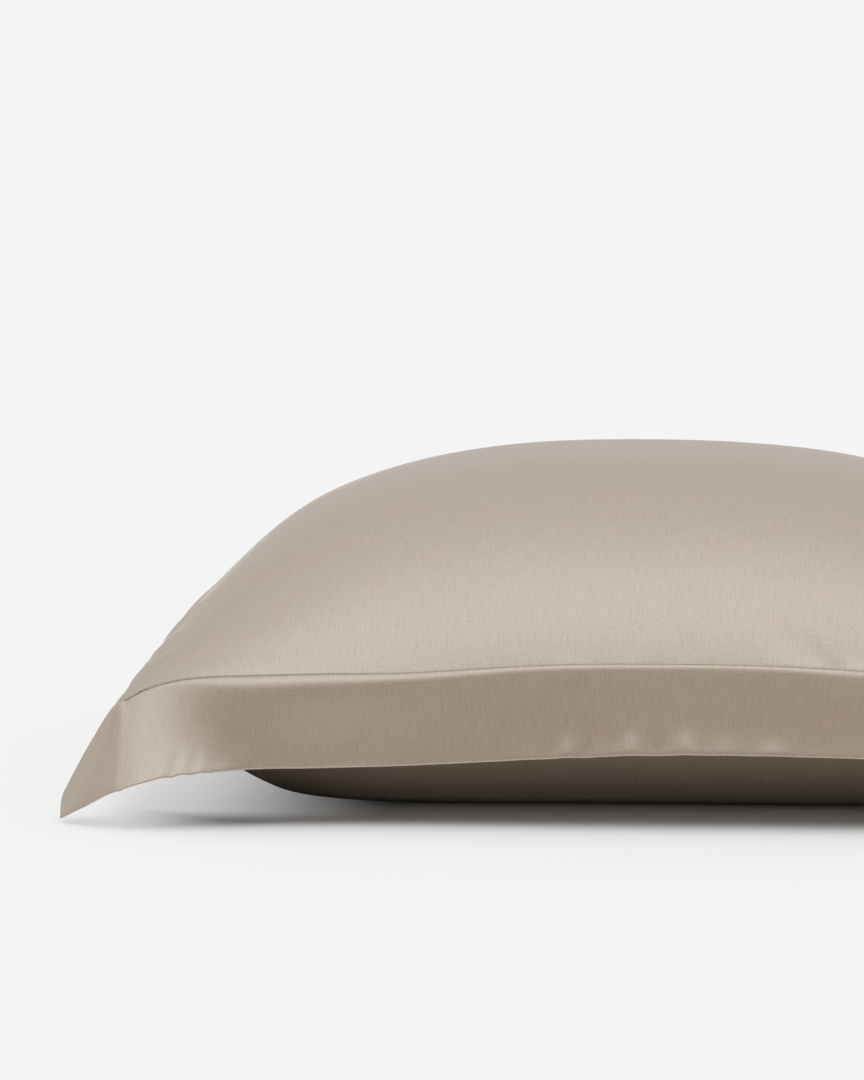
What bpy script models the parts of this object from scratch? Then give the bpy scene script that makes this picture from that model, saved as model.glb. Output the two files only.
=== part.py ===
"""A flanged euro sham filled with its pillow, lying on its back.

Two pieces: the filled pocket, and the double-cloth flange that droops from the seam all round it.
Metres, +Z up. The origin is on the surface under the middle of the sham, and -Y is its front.
Every point is worked out in the flat cloth's own terms, then carried to where the filled sham holds it.
"""

from collections import namedtuple
from math import atan2, cos, hypot, pi, radians, sin, sqrt

import bmesh
import bpy
from mathutils import Matrix, Vector

# Flat sizes of the cloth, as cut and sewn
FLANGE_WIDTH = 0.060  # from the topstitching to the outer edge
FLANGE_THICKNESS = 0.0025  # two layers with their turned-in allowance

# Outline of the filled pocket, along the line where it is topstitched to the flange
CORNER_HALF = 0.309  # half the straight distance between neighbouring corners
MIDSIDE_HALF = 0.302  # half the width across the middle, where the sides draw in
SEAM_HEIGHT = 0.093  # of the middle of a side above the surface
SEAM_ARCH = 0.011  # how far the seam falls towards its corners in one broad arch
CORNER_DIP = 0.012  # how much further it falls close to a corner
CORNER_DIP_POWER = 12
SEAM_RIM = 0.003  # height of the edge where front and back panels meet

# Crown and belly: rise from the seam, fullness, and how gently the cloth leaves the seam
CROWN_RISE = 0.117
CROWN_FULLNESS = 2.95
CROWN_SOFTNESS = 0.76
BELLY_DROP = 0.124
BELLY_FULLNESS = 4.0
BELLY_SOFTNESS = 0.2
REST_BLEND = 0.006  # height over which the belly rolls onto the surface

# The flange leaves the seam level, bends over a small radius and droops
LEVEL_WIDTH = 0.001
BEND_RADIUS = 0.0045
SEAM_GAP = 0.0003
CORNER_TAKE_UP = 0.03  # share of a corner's length lost in its soft ripples
BLUNT_TIP = 0.04  # share by which the turned tip is shorter than a sharp one
BLUNT_POWER = 4

# Cells of the meshes
SIDE_CELLS = 28
FLANGE_ROWS = (0.0, 0.001, 0.003, 0.0055, 0.018, 0.032, 0.046, FLANGE_WIDTH)

# Droop of the flange below level, in degrees, at places along each side from its left end
# to its right end as seen from outside, and at the tip that follows its right end; lean is how far
# that tip swings back from the corner's diagonal towards the side
Side = namedtuple("Side", "left_end near_left quarter middle far_quarter near_right right_end tip lean")
DROOP_PLACES = (-1.0, -0.8, -0.45, 0.0, 0.45, 0.8, 1.0)
SIDES = (
    Side(56, 68, 74, 62, 60, 64, 62, 60, 8),  # front
    Side(54, 65, 61, 63, 68, 66, 62, 61, -10),  # right
    Side(56, 66, 64, 60, 63, 66, 62, 60, 12),  # back
    Side(54, 63, 68, 64, 63, 66, 60, 65, 24),  # left
)

SATIN_COLOUR = (0.42, 0.335, 0.265, 1.0)
SATIN_ROUGHNESS = 0.38


def pull(place, fullness, softness):
    """Rise of a filled panel at a place from -1 to 1 across it: 1 in the middle, 0 on the seam."""
    inside = max(0.0, 1.0 - abs(place) ** fullness)
    return (sqrt(inside + softness**2) - softness) / (sqrt(1.0 + softness**2) - softness)


def half_width(place):
    """Half the pocket's width at a place from -1 to 1 along a side: least in the middle."""
    return MIDSIDE_HALF + (CORNER_HALF - MIDSIDE_HALF) * place**2


def seam_height(u, v):
    """Height of the seam, carried on across the pocket between its sides."""
    corner = abs(u * v)
    return SEAM_HEIGHT - SEAM_ARCH * corner**2 - CORNER_DIP * corner**CORNER_DIP_POWER


def rolled_onto_surface(height):
    """A height kept above the surface, with a short soft roll before it lies flat on it."""
    if height > REST_BLEND:
        return height
    if height < -REST_BLEND:
        return 0.0
    return (height + REST_BLEND) ** 2 / (4.0 * REST_BLEND)


def crown(u, v):
    return CROWN_RISE * pull(u, CROWN_FULLNESS, CROWN_SOFTNESS) * pull(v, CROWN_FULLNESS, CROWN_SOFTNESS)


def belly(u, v):
    return BELLY_DROP * pull(u, BELLY_FULLNESS, BELLY_SOFTNESS) * pull(v, BELLY_FULLNESS, BELLY_SOFTNESS)


def pocket_point(u, v, layer):
    """A point of the pocket's front panel, layer 1, or its back panel, layer -1."""
    height = seam_height(u, v) + layer * SEAM_RIM / 2
    height += crown(u, v) if layer > 0 else -belly(u, v)
    return Vector((u * half_width(v), v * half_width(u), rolled_onto_surface(height)))


def spread(share):
    """Even steps from -1 to 1 made closer towards both ends."""
    return sin(pi / 2 * share)


def smooth_through(places, values, at):
    """A smooth curve through the values, as a cubic between each pair of places."""
    last = len(places) - 1
    cell = max(i for i in range(last) if at >= places[i] or i == 0)
    start, end = places[cell], places[cell + 1]
    width = end - start

    def slope(i):
        before, after = max(i - 1, 0), min(i + 1, last)
        return (values[after] - values[before]) / (places[after] - places[before])

    t = (at - start) / width
    return (
        (2 * t**3 - 3 * t**2 + 1) * values[cell]
        + (t**3 - 2 * t**2 + t) * width * slope(cell)
        + (3 * t**2 - 2 * t**3) * values[cell + 1]
        + (t**3 - t**2) * width * slope(cell + 1)
    )


def draped(length, droop):
    """How far out and how far down cloth reaches that leaves level, bends and then droops."""
    bend = BEND_RADIUS * droop
    if length <= LEVEL_WIDTH:
        return length, 0.0
    if length <= LEVEL_WIDTH + bend:
        turned = (length - LEVEL_WIDTH) / BEND_RADIUS
        return LEVEL_WIDTH + BEND_RADIUS * sin(turned), BEND_RADIUS * (1.0 - cos(turned))
    hanging = length - LEVEL_WIDTH - bend
    out = LEVEL_WIDTH + BEND_RADIUS * sin(droop) + hanging * cos(droop)
    return out, BEND_RADIUS * (1.0 - cos(droop)) + hanging * sin(droop)


def side_droop(side, place):
    return radians(smooth_through(DROOP_PLACES, SIDES[side][: len(DROOP_PLACES)], place))


def seam_turn(place):
    """How far the seam's outward direction swings from straight out, as the side curves in."""
    return atan2(-2 * (CORNER_HALF - MIDSIDE_HALF) * place, CORNER_HALF)


def seam_start(place):
    """Where the flange of the front side leaves the pocket, with a small gap; 1 is the corner."""
    gap = Vector((SEAM_GAP, -SEAM_GAP, 0.0)) if place == 1.0 else SEAM_GAP * heading(seam_turn(place))
    return Vector((place * CORNER_HALF, -half_width(place), seam_height(place, 1.0))) + gap


def heading(turn):
    """The level direction that is a turn away from straight out of the front side."""
    return Vector((sin(turn), -cos(turn), 0.0))


def side_point(side, place, length):
    """A point of the flange beside a seam, as if its side were the front one."""
    out, down = draped(length, side_droop(side, place))
    return seam_start(place) + out * heading(seam_turn(place)) - Vector((0.0, 0.0, down))


def corner_point(side, across, beyond):
    """A point of the flange past the right end of a side, where it fans out round the corner."""
    share = atan2(beyond, across) / (pi / 2)
    middle = sin(pi * share) ** 2
    turn = seam_turn(1.0) + (pi / 2 - 2 * seam_turn(1.0)) * share - radians(SIDES[side].lean) * middle
    left = side_droop(side, 1.0)
    right = side_droop((side + 1) % len(SIDES), -1.0)
    droop = left + (right - left) * share + (radians(SIDES[side].tip) - (left + right) / 2) * middle
    blunting = BLUNT_TIP * (min(across, beyond) / FLANGE_WIDTH) ** BLUNT_POWER
    length = hypot(across, beyond) * (1.0 - CORNER_TAKE_UP * middle - blunting)
    out, down = draped(length, droop)
    return seam_start(1.0) + out * heading(turn) - Vector((0.0, 0.0, down))


def flange_point(column, row):
    """A grid point of the flat square ring, counted in cells from its middle, where it droops."""
    half = SIDE_CELLS / 2
    side = 0
    while row > -half or column <= -half:
        column, row = row, -column
        side += 1
    across = FLANGE_ROWS[round(-row - half)]
    if column > half:
        point = corner_point(side, across, FLANGE_ROWS[round(column - half)])
    else:
        point = side_point(side, spread(column / half), across)
    return Matrix.Rotation(side * pi / 2, 3, "Z") @ point


def satin(name):
    material = bpy.data.materials.new(name)
    material.use_nodes = True
    shader = material.node_tree.nodes["Principled BSDF"]
    shader.inputs["Base Color"].default_value = SATIN_COLOUR
    shader.inputs["Roughness"].default_value = SATIN_ROUGHNESS
    shader.inputs["Metallic"].default_value = 0.0
    return material


def add_object(name, mesh, collection):
    """A named, smoothly shaded object with its own satin, from a bmesh."""
    data = bpy.data.meshes.new(name)
    mesh.to_mesh(data)
    mesh.free()
    data.shade_smooth()
    data.materials.append(satin(f"{name} satin"))
    piece = bpy.data.objects.new(name, data)
    collection.objects.link(piece)
    return piece


def make_pocket(collection):
    """The filled pocket: a cube's top and bottom become its front and back panels."""
    mesh = bmesh.new()
    bmesh.ops.create_cube(mesh, size=2.0)
    level = [edge for edge in mesh.edges if abs(edge.verts[0].co.z - edge.verts[1].co.z) < 1.0]
    bmesh.ops.subdivide_edges(mesh, edges=level, cuts=SIDE_CELLS - 1, use_grid_fill=True)
    for vertex in mesh.verts:
        vertex.co = pocket_point(spread(vertex.co.x), spread(vertex.co.y), vertex.co.z)
    return add_object("pocket", mesh, collection)


def make_flange(collection):
    """The flange: a flat square ring carried to its draped shape, then given its thickness."""
    cells = SIDE_CELLS + 2 * (len(FLANGE_ROWS) - 1)
    mesh = bmesh.new()
    bmesh.ops.create_grid(mesh, x_segments=cells, y_segments=cells, size=cells / 2)
    for vertex in mesh.verts:
        vertex.co = (round(vertex.co.x), round(vertex.co.y), 0.0)
    inside = []
    for face in mesh.faces:
        middle = face.calc_center_median()
        if max(abs(middle.x), abs(middle.y)) < SIDE_CELLS / 2:
            inside.append(face)
    bmesh.ops.delete(mesh, geom=inside, context="FACES")
    for vertex in mesh.verts:
        vertex.co = flange_point(round(vertex.co.x), round(vertex.co.y))
    flange = add_object("flange", mesh, collection)
    thickness = flange.modifiers.new("cloth thickness", "SOLIDIFY")
    thickness.thickness = FLANGE_THICKNESS
    thickness.offset = 0.0
    thickness.use_even_offset = True
    return flange


def main():
    for leftover in list(bpy.data.objects):
        bpy.data.objects.remove(leftover, do_unlink=True)
    sham = bpy.data.collections.new("euro sham")
    bpy.context.scene.collection.children.link(sham)
    make_pocket(sham)
    make_flange(sham)


main()
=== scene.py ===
"""The looks of a flanged silk-satin euro sham, lying on its back on a pale studio floor.

Metres, +Z up, with -Y the front of the sham. The pocket and its flange are worked out in the flat
cloth's own terms, as their solids are, then given the creases, ripples and stitches of the real cloth.
The front-left corner of the flange hangs steeper than its solid and stands up to 17 mm away from it.
"""

from collections import namedtuple
from math import atan2, cos, exp, floor, hypot, pi, radians, sin, sqrt

import bmesh
import bpy
from mathutils import Matrix, Vector, noise


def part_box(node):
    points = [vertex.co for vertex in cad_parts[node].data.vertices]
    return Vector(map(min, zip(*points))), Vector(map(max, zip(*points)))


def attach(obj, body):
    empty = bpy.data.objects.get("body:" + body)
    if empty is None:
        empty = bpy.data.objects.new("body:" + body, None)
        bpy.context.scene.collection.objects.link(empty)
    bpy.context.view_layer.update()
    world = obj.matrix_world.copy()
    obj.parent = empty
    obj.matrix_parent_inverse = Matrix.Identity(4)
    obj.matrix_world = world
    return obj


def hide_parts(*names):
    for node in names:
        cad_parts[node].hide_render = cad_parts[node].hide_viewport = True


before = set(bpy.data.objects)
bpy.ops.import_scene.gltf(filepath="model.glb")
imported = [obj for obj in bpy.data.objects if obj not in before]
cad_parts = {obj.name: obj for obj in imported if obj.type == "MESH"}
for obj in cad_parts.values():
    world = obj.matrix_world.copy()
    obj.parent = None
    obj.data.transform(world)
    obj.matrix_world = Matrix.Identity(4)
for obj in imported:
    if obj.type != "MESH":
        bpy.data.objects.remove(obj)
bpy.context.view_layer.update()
POCKET_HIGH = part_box("pocket")[1]

# The pocket's seam, where it is topstitched to the flange
CORNER_HALF = POCKET_HIGH.x
SIDE_DRAW_IN = 0.007  # how far each side draws in between its corners
MIDSIDE_HALF = CORNER_HALF - SIDE_DRAW_IN
SEAM_HEIGHT = 0.093
SEAM_ARCH = 0.011
CORNER_DIP = 0.012
CORNER_DIP_POWER = 12
SEAM_RIM = 0.0012
SEAM_FALL = (CORNER_DIP * CORNER_DIP_POWER + 2 * SEAM_ARCH) / CORNER_HALF  # its slope at a corner

# Crown and belly of the pocket
CROWN_MARGIN = 0.0008  # how far its top starts below the solid's, as room for the relief
CROWN_RISE = POCKET_HIGH.z - SEAM_HEIGHT - SEAM_RIM / 2 - CROWN_MARGIN
CROWN_FULLNESS = 2.95
CROWN_SOFTNESS = 0.76
BELLY_DROP = 0.124
BELLY_FULLNESS = 3.7
BELLY_SOFTNESS = 0.2
REST_BLEND = 0.006

# The flange
FLANGE_WIDTH = 0.060
FLANGE_SEAM_THICKNESS = 0.0011
FLANGE_MIDDLE_THICKNESS = 0.0016
FLANGE_TUCK = 0.0008  # how far its inner edge reaches into the pocket's seam
FLANGE_ROUND = 0.0009  # how far in from its outer edge the two layers round off
LEAST_ROUND = 0.02  # square of the share of its thickness that is left at the very edge
FLARE_POWER = 3  # how late across its width the flange flares
FALL_STEPS = 28  # steps of the sum that gives the flange its curve
FLANGE_ROWS = (
    -FLANGE_TUCK, 0.0, 0.0005, 0.001, 0.0017, 0.0025, 0.0035, 0.005, 0.007, 0.010, 0.014, 0.019,
    0.025, 0.031, 0.0365, 0.0415, 0.046, 0.050, 0.0535, 0.0565, FLANGE_WIDTH - FLANGE_ROUND,
    FLANGE_WIDTH - 0.5 * FLANGE_ROUND, FLANGE_WIDTH - 0.15 * FLANGE_ROUND, FLANGE_WIDTH,
)  # fmt: skip
SIDE_CELLS = 330
POCKET_CELLS = 206
FLAT_HALF = 0.33  # half the flat pocket's width, the cloth that the crown is stretched from

# How each side's flange hangs, at places from its left end to its right end as seen from outside:
# droop below level and flare of its edge back up in degrees, length of the bend below the seam and
# lift of the seam in millimetres, and percent of the width drawn in by the gathers and turned edges,
# or let out where it is below zero. The front rows and the right end of the left rows were fitted and
# tuned to the outline in the photograph; the others were chosen.
PLACES = (-1.0, -0.96, -0.88, -0.76, -0.62, -0.45, -0.2, 0.0, 0.25, 0.5, 0.8, 0.95, 1.0)
Hang = namedtuple("Hang", "droop flare bend lift gather")
HANGS = (
    Hang(  # front
        (51.5, 53, 61, 71, 75, 73, 69, 67, 67, 67, 65, 62, 60),
        (3, 6, 13, 9, 5, 4, 7, 8, 8, 7, 5, 3, 3),
        (1, 0.6, 1.3, 4.2, 4.6, 3.0, 1.6, 1.3, 1.3, 2.2, 3, 3, 3),
        (0.8, 1.7, 1.5, -0.7, -1.9, -3.0, -0.1, 0.6, 0.4, -1.2, 0.6, 0.6, 0.0),
        (-5, -8, -5, 1.5, 2.5, 4.7, 3.2, 4.8, 6.5, 9, 4, 2, 1),
    ),
    Hang(  # right
        (57, 58, 61, 65, 64, 61, 62, 63, 66, 68, 66, 63, 60),
        (3, 4, 6, 7, 4, 4, 5, 6, 5, 4, 6, 4, 3),
        (3, 3, 3, 4, 5, 5, 3, 2, 3, 4, 3, 3, 3),
        (0.0, 0.6, 1.0, -0.2, -1.2, -1.4, 0.4, 1.0, 0.0, -1.0, 0.6, 0.4, 0.0),
        (1, 1, 2, 2, 2, 3, 3, 3, 2, 2, 2, 1, 1),
    ),
    Hang(  # back
        (57, 60, 64, 67, 66, 64, 62, 60, 61, 63, 66, 63, 60),
        (3, 4, 7, 5, 4, 4, 6, 5, 4, 5, 6, 4, 3),
        (3, 3, 3, 5, 5, 3, 2, 2, 3, 5, 3, 3, 3),
        (0.0, 0.4, 0.8, 0.2, -0.8, -1.6, -0.4, 1.0, 1.2, -0.4, 0.8, 0.4, 0.0),
        (1, 1, 1, 2, 3, 3, 2, 2, 3, 3, 2, 1, 1),
    ),
    Hang(  # left
        (57, 58, 60, 64, 67, 68, 66, 64, 66, 70, 76, 78, 80),
        (3, 4, 5, 4, 5, 6, 5, 4, 5, 6, 4, 3, 3),
        (3, 3, 3, 4, 4, 3, 3, 2, 2, 1, 0.5, 1.0, 5.8),
        (0.0, 0.4, 0.8, -0.2, -1.0, -1.2, 0.2, 1.0, 1.6, 0.0, -2.6, -0.4, 0.8),
        (1, 1, 2, 2, 2, 2, 3, 3, 2, 2, 1, 0, -2),
    ),
)

# How each corner's flange fans out past the right end of a side, a quarter, half and three quarters
# of the way round: swing of the cloth back towards that side, droop and flare, in degrees; and the
# shares of the corner's length lost in its ripples and in its blunt turned tip. The front-left one was
# tuned to the photograph's view alone.
Corner = namedtuple("Corner", "swing droop flare take_up blunt")
CORNERS = (
    Corner((2, 8, 3), (60, 62, 60), (2, 6, 2), 0.02, 0.06),  # front right
    Corner((-2, -9, -5), (57, 62, 61), (3, 8, 2), 0.02, 0.06),  # back right
    Corner((3, 11, 4), (60, 61, 57), (2, 5, 4), 0.03, 0.06),  # back left
    Corner((28, 24, 7), (60, 64.5, 60), (-3, 3, 0), 0.015, 0.08),  # front left
)
BLUNT_POWER = 4  # how closely the blunting keeps to the tip
CORNER_SHARES = (0.0, 0.25, 0.5, 0.75, 1.0)

# Creases of the pocket beside its seam: the side, a place from -1 to 1 along it, distance inward from
# the seam, turn from straight inward in degrees, half length, half width and depth; a ridge has a depth
# below zero
Crease = namedtuple("Crease", "side place inward turn length width depth")
POCKET_CREASES = (
    Crease(0, 0.262, 0.013, -42, 0.013, 0.0060, 0.0012),
    Crease(0, 0.315, 0.007, -30, 0.009, 0.0050, 0.0010),
    Crease(0, 0.350, 0.012, -35, 0.012, 0.0060, -0.0007),
    Crease(0, 0.395, 0.009, -20, 0.011, 0.0050, 0.0011),
    Crease(0, -0.140, 0.008, 10, 0.010, 0.0080, 0.0003),
    Crease(0, -0.030, 0.010, -15, 0.010, 0.0090, 0.0002),
    Crease(0, 0.620, 0.014, 20, 0.018, 0.0070, 0.0008),
    Crease(0, 0.700, 0.010, 8, 0.013, 0.0060, 0.0006),
    Crease(3, 0.400, 0.012, 0, 0.014, 0.0080, -0.0014),
    Crease(3, 0.480, 0.010, 0, 0.014, 0.0070, 0.0010),
    Crease(3, 0.560, 0.010, 5, 0.014, 0.0080, -0.0015),
    Crease(3, 0.650, 0.008, -5, 0.012, 0.0070, 0.0011),
    Crease(3, 0.730, 0.008, 0, 0.012, 0.0070, -0.0014),
    Crease(3, 0.810, 0.007, 5, 0.012, 0.0060, 0.0012),
    Crease(3, 0.880, 0.006, -5, 0.011, 0.0060, -0.0013),
)

# Ripples of the flange: the same, with the distance inward from its outer edge
FLANGE_CREASES = (
    Crease(0, -0.925, 0.004, 14, 0.011, 0.0030, -0.0007),
    Crease(0, -0.902, 0.002, 10, 0.009, 0.0022, 0.0008),
    Crease(0, -0.885, 0.002, 6, 0.009, 0.0022, -0.0006),
    Crease(0, -0.866, 0.002, 0, 0.008, 0.0022, 0.0007),
    Crease(0, -0.848, 0.002, 0, 0.007, 0.0020, -0.0005),
    Crease(0, -0.830, 0.002, -6, 0.007, 0.0022, 0.0005),
    Crease(0, -0.560, 0.004, 12, 0.012, 0.0060, -0.0004),
    Crease(0, -0.230, 0.003, -10, 0.008, 0.0070, -0.0005),
    Crease(0, -0.150, 0.003, 20, 0.009, 0.0050, -0.0009),
    Crease(0, -0.110, 0.003, 10, 0.009, 0.0045, 0.0007),
    Crease(0, -0.030, 0.004, 12, 0.008, 0.0060, -0.0008),
    Crease(0, 0.020, 0.003, -5, 0.008, 0.0050, 0.0006),
    Crease(0, 0.075, 0.004, -8, 0.009, 0.0060, -0.0009),
    Crease(0, 0.150, 0.003, 6, 0.008, 0.0080, -0.0005),
    Crease(0, 0.240, 0.002, 0, 0.006, 0.0080, -0.0006),
    Crease(1, -0.700, 0.004, 12, 0.014, 0.0050, 0.0007),
    Crease(1, -0.300, 0.006, -10, 0.016, 0.0070, -0.0006),
    Crease(1, 0.350, 0.004, 8, 0.014, 0.0060, 0.0007),
    Crease(1, 0.860, 0.003, 15, 0.012, 0.0040, -0.0007),
    Crease(2, -0.820, 0.004, -12, 0.012, 0.0045, 0.0007),
    Crease(2, -0.150, 0.005, 10, 0.016, 0.0070, -0.0006),
    Crease(2, 0.420, 0.004, -8, 0.014, 0.0060, 0.0006),
    Crease(3, -0.650, 0.004, 10, 0.014, 0.0055, 0.0007),
    Crease(3, 0.100, 0.005, -10, 0.016, 0.0070, -0.0006),
    Crease(3, 0.700, 0.004, 8, 0.012, 0.0050, 0.0006),
)

# Broad swells of the filling: place, reach to the sides and to front and back, and height
Swell = namedtuple("Swell", "x y wide deep height")
SWELLS = (
    Swell(-0.277, 0.000, 0.024, 0.16, -0.0040),
    Swell(-0.225, 0.000, 0.030, 0.16, 0.0020),
    Swell(-0.135, 0.010, 0.060, 0.20, -0.0010),
    Swell(0.085, 0.020, 0.060, 0.20, -0.0012),
    Swell(0.210, -0.030, 0.050, 0.16, 0.0016),
)
PUCKER_PITCH = 0.017
PUCKER_REACH = 0.016
PUCKER_LENGTH = 0.05
PUCKER_SEED = 9.7  # sets the puckers of the four sides apart
PUCKERS = (0.00012, 0.0004, 0.0005, 0.0005)  # height of the seam puckers along each side
SEAM_HOLD = 0.004  # how far in from the stitching the relief grows from nothing
LUMP_PITCH = 0.16
LUMP_HEIGHT = 0.0006
LUMP_SEED = 3.1
LIFT_FADES = 0.4  # place across the pocket where the waves of its seams have faded

# Thread of the topstitching
STITCH_PITCH = 0.0031
STITCH_LENGTH = 0.0023
THREAD_RADIUS = 0.00028
STITCH_OUTSET = 0.0004
STITCH_RISE = 0.9  # height of a stitch's middle above the cloth, in radii of the thread
STITCH_SINK = 2.2  # how much lower its ends are
STITCH_TAPER = 0.75
STITCH_RINGS = 6
STITCH_SIDES = 6

# Camera, from the front and a little above the crown: metres, degrees and millimetres of lens, fitted
# to the photograph's outline
CAMERA_DISTANCE = 2.5372
CAMERA_HEIGHT = 0.3314
CAMERA_PITCH = 4.2
CAMERA_YAW = 3.24
CAMERA_LENS = 126.67

# Satin: its colour, how far single threads are lighter or darker, and the tints it drifts between
SATIN_COLOUR = (0.355, 0.278, 0.206)
TONE_CHANGE = 0.15
OLIVE_TINT = (0.98, 1.005, 0.965)
ROSY_TINT = (1.02, 0.993, 1.015)
WEAVE_RELIEF = 0.00003
RIB_SHARE = 0.4  # of the threads' tone that comes from the ribs, the rest from the slubs
SATIN_ROUGHNESS = (0.325, 0.345)
SATIN_IOR = 2.3
SATIN_ANISOTROPY = 0.9
# Sizes of its grains on the cloth, across and along the warp
RIB_SIZE = (0.0010, 0.012)
SLUB_SIZE = (0.0010, 0.0014)
CLOUD_SIZE = (0.05, 0.08)
TINT_SIZE = (0.05, 0.035)
# Parts of the noises' range that are spread over the whole change they make
TONE_RANGE = (0.36, 0.64)
TINT_RANGE = (0.35, 0.65)
CLOUD_RANGE = (0.3, 0.7)

# Thread
THREAD_COLOURS = ((0.47, 0.42, 0.28), (0.62, 0.56, 0.40))
THREAD_ROUGHNESS = 0.7
FUZZ_SCALE = 4000.0  # fibres of a quarter of a millimetre

# What the camera sees behind the sham and on the far floor
STUDIO_WHITE = 0.905

# The studio's light on the sham: brightness by angle in degrees from the front horizon, over the top,
# to the back horizon. It is given straight ahead of and behind the sham, part of the way round to its
# sides, and off to its sides, in round values near a fit to the photograph's tones.
AHEAD = (
    (0, 1.0), (15, 0.5), (30, 0.1), (40, 0.0), (48, 0.3), (64, 1.9), (76, 2.2), (90, 2.0), (115, 1.2),
    (150, 0.7), (180, 0.5),
)  # fmt: skip
BETWEEN = ((0, 1.5), (60, 0.5), (90, 0.4), (130, 1.0), (150, 1.0), (180, 0.4))
ASIDE = ((0, 1.8), (30, 1.3), (65, 0.1), (90, 0.0), (130, 0.8), (180, 0.8))
BRIGHTEST = 2.5
LIGHT_STRENGTH = 2.42
# Sideways part of the direction where each band of light passes into the next
BETWEEN_STARTS = 0.45
BETWEEN_WHOLE = 0.72
ASIDE_WHOLE = 0.9

# The floor. Near the sham a painted shadow darkens its colour, beside the sham's middle painted light
# glows on it over its shadow, and farther off it glows an even white, as the camera sees it. What it
# throws back at the sham is set apart from that, with a painted shade below the sham. Distances are
# from the sham's middle.
FLOOR_RADIUS = 40.0
FLOOR_SIDES = 96
FLOOR_COLOUR = 0.90
# Painted contact shadow: the floor's colour right round the sham, as the camera sees it
PAINTED_SHADOW_COLOUR = 0.44
PAINTED_SHADOW_STARTS = 0.19  # where the painted shadow begins to fade into the floor's own colour
PAINTED_SHADOW_ENDS = 0.37
PAINTED_SHADE_BOUNCE = 0.06  # painted shade: share of the light on it that the floor throws back below the sham, kept low to darken the sham's belly
FAR_BOUNCE = 1.0
BOUNCE_STARTS = 0.27
BOUNCE_ENDS = 0.37
FAR_GLOW = 1.5  # brightness of the far floor in the light that reaches the sham
GLOW_STARTS = 0.75
GLOW_WHOLE = 1.6
PAINTED_SIDE_LIGHT = 0.65  # painted light: how much of that glow also shows to the left and right of the sham's middle, over the floor's shadow there
PAINTED_SIDE_LIGHT_STARTS = 0.15
PAINTED_SIDE_LIGHT_WHOLE = 0.31
SHADE_STARTS = 0.262  # a strip along the front and back that keeps its shade despite the painted side light
SHADE_WHOLE = 0.325
SHADE_ENDS = 0.47
CLEAR_STARTS = 0.23  # where the painted side light comes back over that strip towards the sides
CLEAR_WHOLE = 0.32


def pull(place, fullness, softness):
    """Rise of a filled panel at a place from -1 to 1 across it: 1 in the middle, 0 on the seam."""
    inside = max(0.0, 1.0 - abs(place) ** fullness)
    return (sqrt(inside + softness**2) - softness) / (sqrt(1.0 + softness**2) - softness)


def half_width(place):
    """Half the pocket's width at a place from -1 to 1 along a side: least in the middle."""
    return MIDSIDE_HALF + (CORNER_HALF - MIDSIDE_HALF) * place**2


def smooth_through(places, values, at, end_slopes=(0.0, 0.0)):
    """A smooth curve through the values, a cubic between each two places, with these end slopes."""
    last = len(places) - 1
    cell = max(i for i in range(last) if at >= places[i] or i == 0)
    start, end = places[cell], places[cell + 1]
    width = end - start

    def slope(i):
        if i in (0, last):
            return end_slopes[i == last]
        return (values[i + 1] - values[i - 1]) / (places[i + 1] - places[i - 1])

    t = (at - start) / width
    return (
        (2 * t**3 - 3 * t**2 + 1) * values[cell]
        + (t**3 - 2 * t**2 + t) * width * slope(cell)
        + (3 * t**2 - 2 * t**3) * values[cell + 1]
        + (t**3 - t**2) * width * slope(cell + 1)
    )


def smoothstep(low, high, value):
    """0 at low and 1 at high, with a smooth rise between."""
    t = min(1.0, max(0.0, (value - low) / (high - low)))
    return t * t * (3 - 2 * t)


def turned(point, side):
    """A point of the front side, carried round to another side."""
    return Matrix.Rotation(side * pi / 2, 3, "Z") @ point


def lift(side, place):
    """How far a side's seam is lifted by its waves, in metres."""
    return smooth_through(PLACES, HANGS[side].lift, place) / 1000


def side_lift(u, v):
    """Lift of the pocket's cloth by the waves of its seams, fading towards the middle."""
    return (
        lift(0, u) * smoothstep(-LIFT_FADES, -1.0, v)
        + lift(1, v) * smoothstep(LIFT_FADES, 1.0, u)
        + lift(2, -u) * smoothstep(LIFT_FADES, 1.0, v)
        + lift(3, -v) * smoothstep(-LIFT_FADES, -1.0, u)
    )


def seam_height(u, v):
    """Height of the seam, carried on across the pocket between its sides."""
    corner = abs(u * v)
    return SEAM_HEIGHT - SEAM_ARCH * corner**2 - CORNER_DIP * corner**CORNER_DIP_POWER + side_lift(u, v)


def rolled_onto_surface(height):
    """A height kept above the surface, with a short soft roll before it lies flat on it."""
    if height > REST_BLEND:
        return height
    if height < -REST_BLEND:
        return 0.0
    return (height + REST_BLEND) ** 2 / (4.0 * REST_BLEND)


def crown(u, v):
    return CROWN_RISE * pull(u, CROWN_FULLNESS, CROWN_SOFTNESS) * pull(v, CROWN_FULLNESS, CROWN_SOFTNESS)


def belly(u, v):
    return BELLY_DROP * pull(u, BELLY_FULLNESS, BELLY_SOFTNESS) * pull(v, BELLY_FULLNESS, BELLY_SOFTNESS)


def pocket_point(u, v, layer):
    """A point of the pocket's front panel, layer 1, or its back panel, layer -1."""
    height = seam_height(u, v) + layer * SEAM_RIM / 2
    if layer > 0:
        height += crown(u, v)
    else:
        height -= belly(u, v)
    return Vector((u * half_width(v), v * half_width(u), rolled_onto_surface(height)))


def crease_height(crease, point, half, edge):
    """How far a crease moves the cloth outward at a point of a plan. Its side is twice half long and
    lies this edge away from the middle."""
    centre = Vector((crease.place * half, -edge + crease.inward))
    local = turned(point, -crease.side).to_2d() - centre
    turn = radians(crease.turn)
    along = local.x * sin(turn) + local.y * cos(turn)
    across = local.x * cos(turn) - local.y * sin(turn)
    return -crease.depth * exp(-((along / crease.length) ** 2) - (across / crease.width) ** 2)


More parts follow.
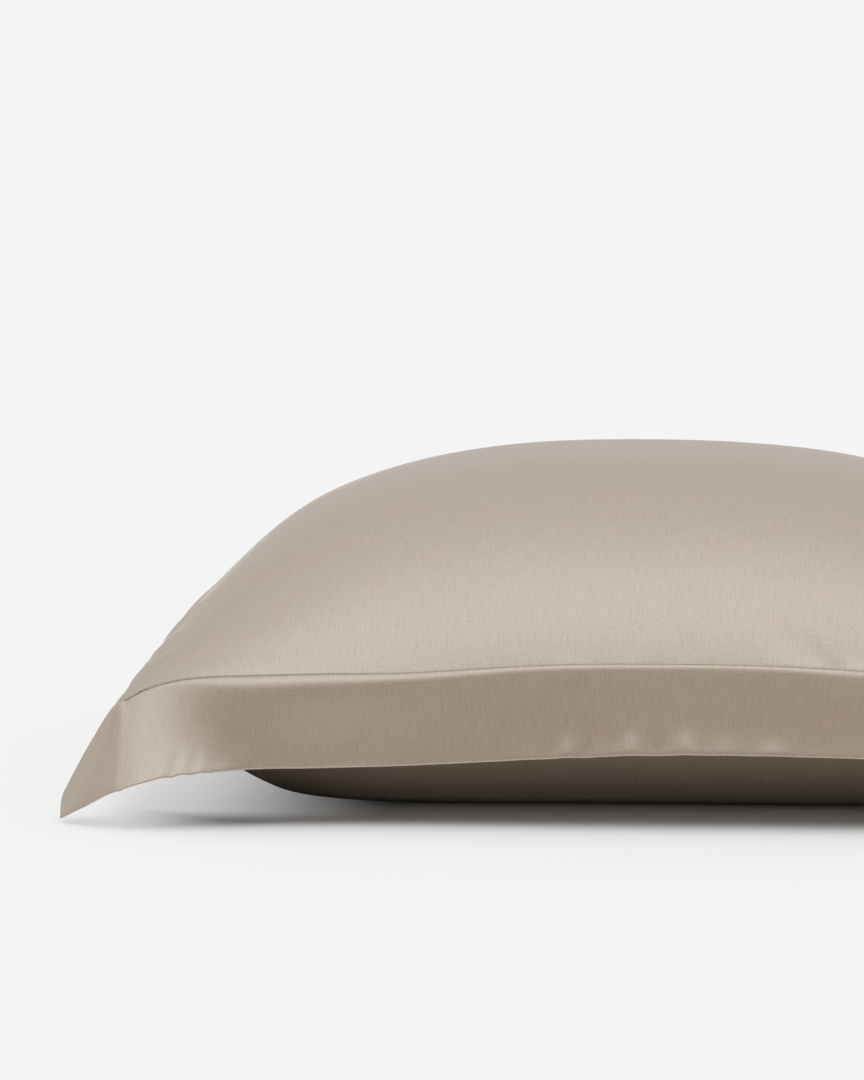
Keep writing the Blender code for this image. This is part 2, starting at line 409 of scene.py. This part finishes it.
def puckers(point):
    """Small gathers along the seams, strongest on the stitching and gone a little way inward."""
    height = 0.0
    for side, most in enumerate(PUCKERS):
        local = turned(point, -side)
        inward = local.y + half_width(local.x / CORNER_HALF)
        if inward < 4 * PUCKER_REACH:
            wave = noise.noise(Vector((local.x / PUCKER_PITCH, inward / PUCKER_LENGTH, side * PUCKER_SEED)))
            height += most * wave * exp(-((inward / PUCKER_REACH) ** 2))
    return height


def lumps(point):
    """Slow unevenness of the filling."""
    return LUMP_HEIGHT * noise.noise(Vector((point.x / LUMP_PITCH, point.y / LUMP_PITCH, LUMP_SEED)))


def flange_relief(spot):
    """Ripples of the flange at a place on the flat cloth."""
    return sum(crease_height(c, spot, FLAT_HALF, FLAT_HALF + FLANGE_WIDTH) for c in FLANGE_CREASES)


def swells(point):
    """Broad swells of the filling."""
    return sum(
        s.height * exp(-(((point.x - s.x) / s.wide) ** 2) - ((point.y - s.y) / s.deep) ** 2) for s in SWELLS
    )


def pocket_relief(point, u, v):
    """How far the front panel's cloth stands off its smooth crown."""
    inside = (1 - u**4) * (1 - v**4)
    creases = sum(crease_height(c, point, CORNER_HALF, half_width(c.place)) for c in POCKET_CREASES)
    from_seam = CORNER_HALF * (1 - max(abs(u), abs(v)))
    held = smoothstep(0, SEAM_HOLD, from_seam)
    return held * (creases + puckers(point)) + inside * (lumps(point) + swells(point))


def spread(share):
    """Even steps from -1 to 1 made closer towards both ends."""
    return sin(pi / 2 * share)


def seam_turn(place):
    """How far the seam's outward direction swings from straight out, as the side curves in."""
    return atan2(-2 * (CORNER_HALF - MIDSIDE_HALF) * place, CORNER_HALF)


def heading(turn):
    """The level direction that is a turn away from straight out of the front side."""
    return Vector((sin(turn), -cos(turn), 0.0))


def seam_point(side, place, inset=0.0):
    """A point of the topstitched seam, or a little inside it, as if its side were the front one."""
    height = SEAM_HEIGHT - SEAM_ARCH * place**2 - CORNER_DIP * abs(place) ** CORNER_DIP_POWER
    return Vector((place * (CORNER_HALF - inset), inset - half_width(place), height + lift(side, place)))


def fallen(length, droop, flare, bend):
    """How far out and down cloth reaches that leaves the seam level, bends down and flares at its edge."""
    out = down = 0.0
    for i in range(FALL_STEPS):
        share = (i + 0.5) / FALL_STEPS
        way = max(0.0, length * share**2 - FLANGE_TUCK)
        angle = droop * (1.0 - exp(-way / bend)) - flare * (way / FLANGE_WIDTH) ** FLARE_POWER
        out += cos(angle) * 2 * share
        down += sin(angle) * 2 * share
    return out * length / FALL_STEPS, down * length / FALL_STEPS


def hang(side, place):
    """Droop and flare in radians, the bend in metres and the share drawn in, at a place along a side."""
    droop, flare, bend, _, gather = (smooth_through(PLACES, column, place) for column in HANGS[side])
    return radians(droop), radians(flare), bend / 1000, gather / 100


def side_point(side, place, length):
    """A point of the flange beside a seam, this length from its inner edge, as if its side were the
    front one."""
    droop, flare, bend, gather = hang(side, place)
    out, down = fallen(length * (1 - gather), droop, flare, bend)
    start = seam_point(side, place, FLANGE_TUCK)
    return start + out * heading(seam_turn(place)) - Vector((0.0, 0.0, down))


def corner_point(side, across, beyond):
    """A point of the flange past the right end of a side, where it fans out round the corner."""
    share = atan2(beyond, across) / (pi / 2)
    corner = CORNERS[side]
    before = HANGS[side]
    after = HANGS[(side + 1) % 4]

    def through(start, middle, end, end_slopes=(0.0, 0.0)):
        return smooth_through(CORNER_SHARES, (start, *middle, end), share, end_slopes)

    first = 90 - corner.swing[0] / CORNER_SHARES[1]
    last = 90 + corner.swing[-1] / (1 - CORNER_SHARES[-2])
    steepening = (
        SEAM_FALL * cos(radians(before.droop[-1])) ** 2 * max(0.0, first),
        -SEAM_FALL * cos(radians(after.droop[0])) ** 2 * max(0.0, last),
    )
    swing = radians(through(0, corner.swing, 0, (90 - first, 90 - last)))
    droop = radians(through(before.droop[-1], corner.droop, after.droop[0], steepening))
    flare = radians(through(before.flare[-1], corner.flare, after.flare[0]))
    share_after = smoothstep(0, 1, share)
    bend = (before.bend[-1] + (after.bend[0] - before.bend[-1]) * share_after) / 1000
    gather = (before.gather[-1] + (after.gather[0] - before.gather[-1]) * share_after) / 100
    turn = seam_turn(1.0) + (pi / 2 - 2 * seam_turn(1.0)) * share - swing
    blunting = corner.blunt * (min(across, beyond) / FLANGE_WIDTH) ** BLUNT_POWER
    take_up = gather + corner.take_up * sin(pi * share) ** 2 + blunting
    length = hypot(across, beyond) * (1.0 - take_up)
    out, down = fallen(length, droop, flare, bend)
    return seam_point(side, 1.0, FLANGE_TUCK) + out * heading(turn) - Vector((0.0, 0.0, down))


def flat_place(column, row):
    """Side, distance across the flange and distance beyond the side's right end, or place along it,
    of a grid point of the flat square ring, counted in cells from its middle."""
    half = SIDE_CELLS / 2
    side = 0
    while row > -half or column <= -half:
        column, row = row, -column
        side += 1
    across = FLANGE_ROWS[round(-row - half)]
    if column > half:
        return side, across, FLANGE_ROWS[round(column - half)], None
    return side, across, None, column / half


def flange_point(column, row):
    """A grid point of the flat square ring, where it hangs."""
    side, across, beyond, place = flat_place(column, row)
    across += FLANGE_TUCK
    if beyond is None:
        return turned(side_point(side, place, across), side)
    return turned(corner_point(side, across, beyond + FLANGE_TUCK), side)


def flange_flat(column, row):
    """The same grid point on the flat cloth."""
    side, across, beyond, place = flat_place(column, row)
    x = FLAT_HALF * place if beyond is None else FLAT_HALF + beyond
    return turned(Vector((x, -FLAT_HALF - across, 0.0)), side).to_2d()


def add_piece(name, mesh, material):
    """A named, smoothly shaded piece of the sham, from a bmesh."""
    data = bpy.data.meshes.new(name)
    mesh.to_mesh(data)
    mesh.free()
    data.shade_smooth()
    data.materials.append(material)
    piece = bpy.data.objects.new(name, data)
    bpy.context.scene.collection.objects.link(piece)
    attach(piece, "root")
    return piece


def lay_weave(mesh, flat):
    """The weave's UV map: each corner's place on the flat cloth, in metres."""
    weave = mesh.loops.layers.uv.new("weave")
    for face in mesh.faces:
        for loop in face.loops:
            loop[weave].uv = flat[loop.vert]


def make_pocket(material):
    """The filled pocket: a cube's top and bottom become its front and back panels."""
    mesh = bmesh.new()
    bmesh.ops.create_cube(mesh, size=2.0)
    level = [edge for edge in mesh.edges if abs(edge.verts[0].co.z - edge.verts[1].co.z) < 1.0]
    bmesh.ops.subdivide_edges(mesh, edges=level, cuts=POCKET_CELLS - 1, use_grid_fill=True)
    flat = {}
    spots = {}
    for vertex in mesh.verts:
        u, v, layer = spread(vertex.co.x), spread(vertex.co.y), vertex.co.z
        flat[vertex] = (u * FLAT_HALF, v * FLAT_HALF)
        spots[vertex] = (u, v, layer)
        vertex.co = pocket_point(u, v, layer)
    mesh.normal_update()
    moves = {}
    for vertex, (u, v, layer) in spots.items():
        if layer > 0:
            moves[vertex] = vertex.normal * pocket_relief(vertex.co, u, v)
        elif vertex.co.z > REST_BLEND:
            moves[vertex] = vertex.normal * puckers(vertex.co)
    for vertex, move in moves.items():
        vertex.co += move
    lay_weave(mesh, flat)
    piece = add_piece("pocket_cloth", mesh, material)
    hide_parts("pocket")
    return piece


def make_flange(material):
    """The flange: the flat square ring carried to its hanging shape, as two layers joined round the edge."""
    cells = SIDE_CELLS + 2 * (len(FLANGE_ROWS) - 1)
    mesh = bmesh.new()
    bmesh.ops.create_grid(mesh, x_segments=cells, y_segments=cells, size=cells / 2)
    for vertex in mesh.verts:
        vertex.co = (round(vertex.co.x), round(vertex.co.y), 0.0)
    inside = []
    for face in mesh.faces:
        middle = face.calc_center_median()
        if max(abs(middle.x), abs(middle.y)) < SIDE_CELLS / 2:
            inside.append(face)
    bmesh.ops.delete(mesh, geom=inside, context="FACES")
    flat = {}
    across = {}
    for vertex in mesh.verts:
        column, row = round(vertex.co.x), round(vertex.co.y)
        flat[vertex] = flange_flat(column, row)
        across[vertex] = max(abs(flat[vertex].x), abs(flat[vertex].y)) - FLAT_HALF
        vertex.co = flange_point(column, row)
    mesh.normal_update()
    for vertex, spot in flat.items():
        vertex.co += vertex.normal * flange_relief(spot.to_3d())
    mesh.normal_update()
    lay_weave(mesh, flat)
    rim = [e for e in mesh.edges if e.is_boundary]
    normals = {v: v.normal.copy() for v in mesh.verts}
    front = list(mesh.verts)
    front_faces = list(mesh.faces)
    made = bmesh.ops.duplicate(mesh, geom=front + list(mesh.edges) + front_faces)
    back_of = {v: made["vert_map"][v] for v in front}
    for vertex in front:
        puff = sin(pi * min(1.0, max(0.0, across[vertex] / FLANGE_WIDTH)))
        half = (FLANGE_SEAM_THICKNESS + (FLANGE_MIDDLE_THICKNESS - FLANGE_SEAM_THICKNESS) * puff) / 2
        into_edge = max(0.0, across[vertex] - FLANGE_WIDTH + FLANGE_ROUND) / FLANGE_ROUND
        half *= sqrt(max(LEAST_ROUND, 1.0 - into_edge**2))
        offset = normals[vertex] * half
        back_of[vertex].co -= offset
        vertex.co += offset
    back_faces = [f for f in made["geom"] if isinstance(f, bmesh.types.BMFace)]
    bmesh.ops.reverse_faces(mesh, faces=back_faces)
    weave = mesh.loops.layers.uv["weave"]
    for edge in rim:
        a, b = edge.verts
        loop = edge.link_loops[0]
        if loop.vert != a:
            a, b = b, a
        side = mesh.faces.new((b, a, back_of[a], back_of[b]))
        side.smooth = True
        for corner, vertex in zip(side.loops, (b, a, a, b), strict=True):
            corner[weave].uv = flat[vertex]
    piece = add_piece("flange_cloth", mesh, material)
    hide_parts("flange")
    return piece


def make_topstitching(material):
    """A line of short stitches round the pocket, each a bowed thread whose ends go into the cloth."""
    mesh = bmesh.new()
    count = floor(2 * CORNER_HALF / STITCH_PITCH)
    for side in range(4):
        for number in range(count):
            middle = -1 + (number + 0.5) * 2 / count
            previous = None
            for ring in range(STITCH_RINGS + 1):
                share = ring / STITCH_RINGS * 2 - 1
                place = middle + share * STITCH_LENGTH / 2 / CORNER_HALF
                centre = seam_point(side, place) + STITCH_OUTSET * heading(0)
                bow = STITCH_RISE - STITCH_SINK * share**4
                centre.z += FLANGE_SEAM_THICKNESS / 2 + THREAD_RADIUS * bow
                radius = THREAD_RADIUS * sqrt(1.0 - STITCH_TAPER * share**4)
                verts = []
                for k in range(STITCH_SIDES):
                    angle = 2 * pi * k / STITCH_SIDES
                    spoke = Vector((0.0, radius * cos(angle), radius * sin(angle)))
                    verts.append(mesh.verts.new(turned(centre + spoke, side)))
                if previous:
                    for k in range(STITCH_SIDES):
                        j = (k + 1) % STITCH_SIDES
                        mesh.faces.new((previous[k], previous[j], verts[j], verts[k]))
                else:
                    mesh.faces.new(verts)
                previous = verts
            mesh.faces.new(list(reversed(previous)))
    bmesh.ops.recalc_face_normals(mesh, faces=mesh.faces)
    piece = add_piece("topstitching", mesh, material)
    return piece


def add_node(tree, kind, inputs=None, **settings):
    """A shader node with its settings, input values and links."""
    node = tree.nodes.new(kind)
    for name, value in settings.items():
        setattr(node, name, value)
    for name, value in (inputs or {}).items():
        if isinstance(value, bpy.types.NodeSocket):
            tree.links.new(value, node.inputs[name])
        else:
            node.inputs[name].default_value = value
    return node


def new_material(name):
    material = bpy.data.materials.new(name)
    material.use_nodes = True
    return material, material.node_tree, material.node_tree.nodes["Principled BSDF"]


def weave_noise(tree, weave, size, detail=2.0):
    """Noise whose grains have this size on the cloth, across and along the warp, in metres."""
    scale = (1 / size[0], 1 / size[1], 1.0)
    placed = add_node(tree, "ShaderNodeMapping", {"Vector": weave, "Scale": scale})
    grain = add_node(
        tree, "ShaderNodeTexNoise", {"Vector": placed.outputs["Vector"], "Scale": 1.0, "Detail": detail}
    )
    return grain.outputs["Fac"]


def mixed(tree, operation, a, b):
    """The output of a Math node on two values or sockets."""
    return add_node(tree, "ShaderNodeMath", {0: a, 1: b}, operation=operation).outputs[0]


def stretched(tree, value, part, onto=(0.0, 1.0)):
    """A value with this part of its range spread over another range."""
    inputs = {"Value": value, "From Min": part[0], "From Max": part[1], "To Min": onto[0], "To Max": onto[1]}
    return add_node(tree, "ShaderNodeMapRange", inputs).outputs["Result"]


def satin(name, colour):
    """Silk satin: long warp floats that run front to back make its gloss narrow along them."""
    material, tree, shader = new_material(name)
    weave = add_node(tree, "ShaderNodeUVMap", uv_map="weave").outputs["UV"]
    ribs = mixed(tree, "MULTIPLY", weave_noise(tree, weave, RIB_SIZE), RIB_SHARE)
    slubs = mixed(tree, "MULTIPLY", weave_noise(tree, weave, SLUB_SIZE), 1 - RIB_SHARE)
    tone = stretched(tree, mixed(tree, "ADD", ribs, slubs), TONE_RANGE)
    tint = stretched(tree, weave_noise(tree, weave, TINT_SIZE), TINT_RANGE)
    cloudy = weave_noise(tree, weave, CLOUD_SIZE, detail=1.0)
    threads = []
    for brightness in (1 - TONE_CHANGE, 1 + TONE_CHANGE):
        olive = tuple(brightness * c * t for c, t in zip(colour, OLIVE_TINT, strict=True)) + (1.0,)
        rosy = tuple(brightness * c * t for c, t in zip(colour, ROSY_TINT, strict=True)) + (1.0,)
        inputs = {"Factor": tint, "A": olive, "B": rosy}
        threads.append(add_node(tree, "ShaderNodeMix", inputs, data_type="RGBA").outputs["Result"])
    inputs = {"Factor": tone, "A": threads[0], "B": threads[1]}
    shade = add_node(tree, "ShaderNodeMix", inputs, data_type="RGBA")
    tree.links.new(shade.outputs["Result"], shader.inputs["Base Color"])
    tree.links.new(stretched(tree, cloudy, CLOUD_RANGE, SATIN_ROUGHNESS), shader.inputs["Roughness"])
    bump = add_node(tree, "ShaderNodeBump", {"Height": tone, "Strength": 1.0, "Distance": WEAVE_RELIEF})
    tree.links.new(bump.outputs["Normal"], shader.inputs["Normal"])
    warp = add_node(tree, "ShaderNodeTangent", direction_type="UV_MAP", uv_map="weave")
    tree.links.new(warp.outputs["Tangent"], shader.inputs["Tangent"])
    shader.inputs["IOR"].default_value = SATIN_IOR
    shader.inputs["Anisotropic"].default_value = SATIN_ANISOTROPY
    return material


def spun_thread():
    """Matt spun sewing thread, more olive than the satin. It has none of the satin's gloss, so it reads
    darker where the satin shines."""
    material, tree, shader = new_material("thread")
    place = add_node(tree, "ShaderNodeTexCoord").outputs["Object"]
    fuzz = add_node(tree, "ShaderNodeTexNoise", {"Vector": place, "Scale": FUZZ_SCALE, "Detail": 2.0})
    dark, pale = (colour + (1.0,) for colour in THREAD_COLOURS)
    inputs = {"Factor": fuzz.outputs["Fac"], "A": dark, "B": pale}
    shade = add_node(tree, "ShaderNodeMix", inputs, data_type="RGBA")
    tree.links.new(shade.outputs["Result"], shader.inputs["Base Color"])
    shader.inputs["Roughness"].default_value = THREAD_ROUGHNESS
    return material


def light_band(tree, angle, stops):
    """Brightness by angle, given in degrees."""
    band = add_node(tree, "ShaderNodeValToRGB", {"Fac": angle})
    elements = band.color_ramp.elements
    while len(elements) < len(stops):
        elements.new(0.5)
    for element, (place, value) in zip(elements, stops, strict=True):
        element.position = place / 180
        element.color = (value / BRIGHTEST,) * 3 + (1.0,)
    return band.outputs["Color"]


def smooth_rise(tree, value, start, end):
    """0 below the start and 1 past the end, with a smooth rise between."""
    rise = add_node(
        tree,
        "ShaderNodeMapRange",
        {"Value": value, "From Min": start, "From Max": end},
        interpolation_type="SMOOTHSTEP",
    )
    return rise.outputs["Result"]


def make_studio():
    """Soft light from all round, far away: brightest overhead, with a dark band between there and the
    front horizon. The camera sees an even white in its place."""
    world = bpy.data.worlds.new("studio")
    bpy.context.scene.world = world
    world.use_nodes = True
    tree = world.node_tree
    tree.nodes.clear()
    way = add_node(tree, "ShaderNodeTexCoord").outputs["Generated"]
    parts = add_node(tree, "ShaderNodeSeparateXYZ", {0: way}).outputs
    back = mixed(tree, "MULTIPLY", parts["Y"], -1.0)
    angle = mixed(tree, "DIVIDE", mixed(tree, "ARCTAN2", parts["Z"], back), pi)
    sideways = add_node(tree, "ShaderNodeMath", {0: parts["X"]}, operation="ABSOLUTE").outputs[0]
    band = light_band(tree, angle, AHEAD)
    for start, whole, stops in (
        (BETWEEN_STARTS, BETWEEN_WHOLE, BETWEEN),
        (BETWEEN_WHOLE, ASIDE_WHOLE, ASIDE),
    ):
        rise = smooth_rise(tree, sideways, start, whole)
        inputs = {"Factor": rise, "A": band, "B": light_band(tree, angle, stops)}
        band = add_node(tree, "ShaderNodeMix", inputs, data_type="RGBA").outputs["Result"]
    light = add_node(tree, "ShaderNodeBackground", {"Color": band, "Strength": LIGHT_STRENGTH})
    plain = add_node(tree, "ShaderNodeBackground", {"Color": (STUDIO_WHITE,) * 3 + (1.0,)})
    seen = add_node(tree, "ShaderNodeLightPath").outputs["Is Camera Ray"]
    both = add_node(tree, "ShaderNodeMixShader", {0: seen, 1: light.outputs[0], 2: plain.outputs[0]})
    out = add_node(tree, "ShaderNodeOutputWorld")
    tree.links.new(both.outputs[0], out.inputs["Surface"])


def make_floor():
    """A matt floor near the sham that passes into the studio's even white farther off, as the camera
    sees it, with a painted shadow round the sham and painted light beside it. Every other ray meets a
    floor that throws back its own set share of light, with a painted shade below the sham."""
    mesh = bmesh.new()
    bmesh.ops.create_circle(mesh, cap_ends=True, cap_tris=True, segments=FLOOR_SIDES, radius=FLOOR_RADIUS)
    data = bpy.data.meshes.new("floor")
    mesh.to_mesh(data)
    mesh.free()
    material, tree, shader = new_material("floor")
    shader.inputs["Roughness"].default_value = 1.0
    shader.inputs["Specular IOR Level"].default_value = 0.0
    place = add_node(tree, "ShaderNodeTexCoord").outputs["Object"]
    away = add_node(tree, "ShaderNodeVectorMath", {0: place}, operation="LENGTH").outputs["Value"]
    parts = add_node(tree, "ShaderNodeSeparateXYZ", {0: place}).outputs
    aside = add_node(tree, "ShaderNodeMath", {0: parts["X"]}, operation="ABSOLUTE").outputs[0]
    ahead = add_node(tree, "ShaderNodeMath", {0: parts["Y"]}, operation="ABSOLUTE").outputs[0]
    shade = mixed(
        tree,
        "SUBTRACT",
        smooth_rise(tree, ahead, SHADE_STARTS, SHADE_WHOLE),
        smooth_rise(tree, ahead, SHADE_WHOLE, SHADE_ENDS),
    )
    # Painted light: glow beside the sham's middle that lifts the floor's shadow, held back in a strip along
    # the front and back
    lifted = mixed(tree, "MULTIPLY", smooth_rise(tree, aside, PAINTED_SIDE_LIGHT_STARTS, PAINTED_SIDE_LIGHT_WHOLE), PAINTED_SIDE_LIGHT)
    lifted = mixed(tree, "MULTIPLY", lifted, mixed(tree, "SUBTRACT", 1.0, shade))
    clear = mixed(tree, "MULTIPLY", smooth_rise(tree, aside, CLEAR_STARTS, CLEAR_WHOLE), PAINTED_SIDE_LIGHT)
    lifted = mixed(tree, "MAXIMUM", lifted, clear)
    far = smooth_rise(tree, away, GLOW_STARTS, GLOW_WHOLE)
    share = mixed(tree, "MAXIMUM", far, lifted)
    glow = add_node(tree, "ShaderNodeEmission", {"Color": (STUDIO_WHITE,) * 3 + (1.0,)})
    mix = add_node(tree, "ShaderNodeMixShader", {0: share, 1: shader.outputs[0], 2: glow.outputs[0]})
    bounce = add_node(tree, "ShaderNodeBsdfDiffuse")
    outward = mixed(tree, "MAXIMUM", ahead, aside)
    # Painted shadow in the floor's colour round the sham, and painted shade in what it throws back below the
    # sham
    for start, whole, near, distant, socket in (
        (PAINTED_SHADOW_STARTS, PAINTED_SHADOW_ENDS, PAINTED_SHADOW_COLOUR, FLOOR_COLOUR, shader.inputs["Base Color"]),
        (BOUNCE_STARTS, BOUNCE_ENDS, PAINTED_SHADE_BOUNCE, FAR_BOUNCE, bounce.inputs["Color"]),
    ):
        inputs = {
            "Factor": smooth_rise(tree, outward, start, whole),
            "A": (near,) * 3 + (1.0,),
            "B": (distant,) * 3 + (1.0,),
        }
        colour = add_node(tree, "ShaderNodeMix", inputs, data_type="RGBA")
        tree.links.new(colour.outputs["Result"], socket)
    seen = add_node(tree, "ShaderNodeLightPath").outputs["Is Camera Ray"]
    lamp = add_node(tree, "ShaderNodeEmission", {"Strength": FAR_GLOW})
    beyond = smooth_rise(tree, away, BOUNCE_ENDS, GLOW_STARTS)
    thrown = add_node(tree, "ShaderNodeMixShader", {0: beyond, 1: bounce.outputs[0], 2: lamp.outputs[0]})
    both = add_node(tree, "ShaderNodeMixShader", {0: seen, 1: thrown.outputs[0], 2: mix.outputs[0]})
    tree.links.new(both.outputs[0], tree.nodes["Material Output"].inputs["Surface"])
    data.materials.append(material)
    floor_object = bpy.data.objects.new("floor", data)
    bpy.context.scene.collection.objects.link(floor_object)


def make_camera():
    """A camera in front of the sham, turned a little to its left and down."""
    data = bpy.data.cameras.new("camera")
    data.lens = CAMERA_LENS
    camera = bpy.data.objects.new("camera", data)
    camera.location = (0.0, -CAMERA_DISTANCE, CAMERA_HEIGHT)
    camera.rotation_euler = (radians(90 - CAMERA_PITCH), 0.0, radians(CAMERA_YAW))
    bpy.context.scene.collection.objects.link(camera)
    bpy.context.scene.camera = camera


make_camera()
make_studio()
make_floor()
make_pocket(satin("satin", SATIN_COLOUR))
make_flange(satin("flange_satin", SATIN_COLOUR))
make_topstitching(spun_thread())
bpy.context.scene.view_settings.view_transform = "Standard"
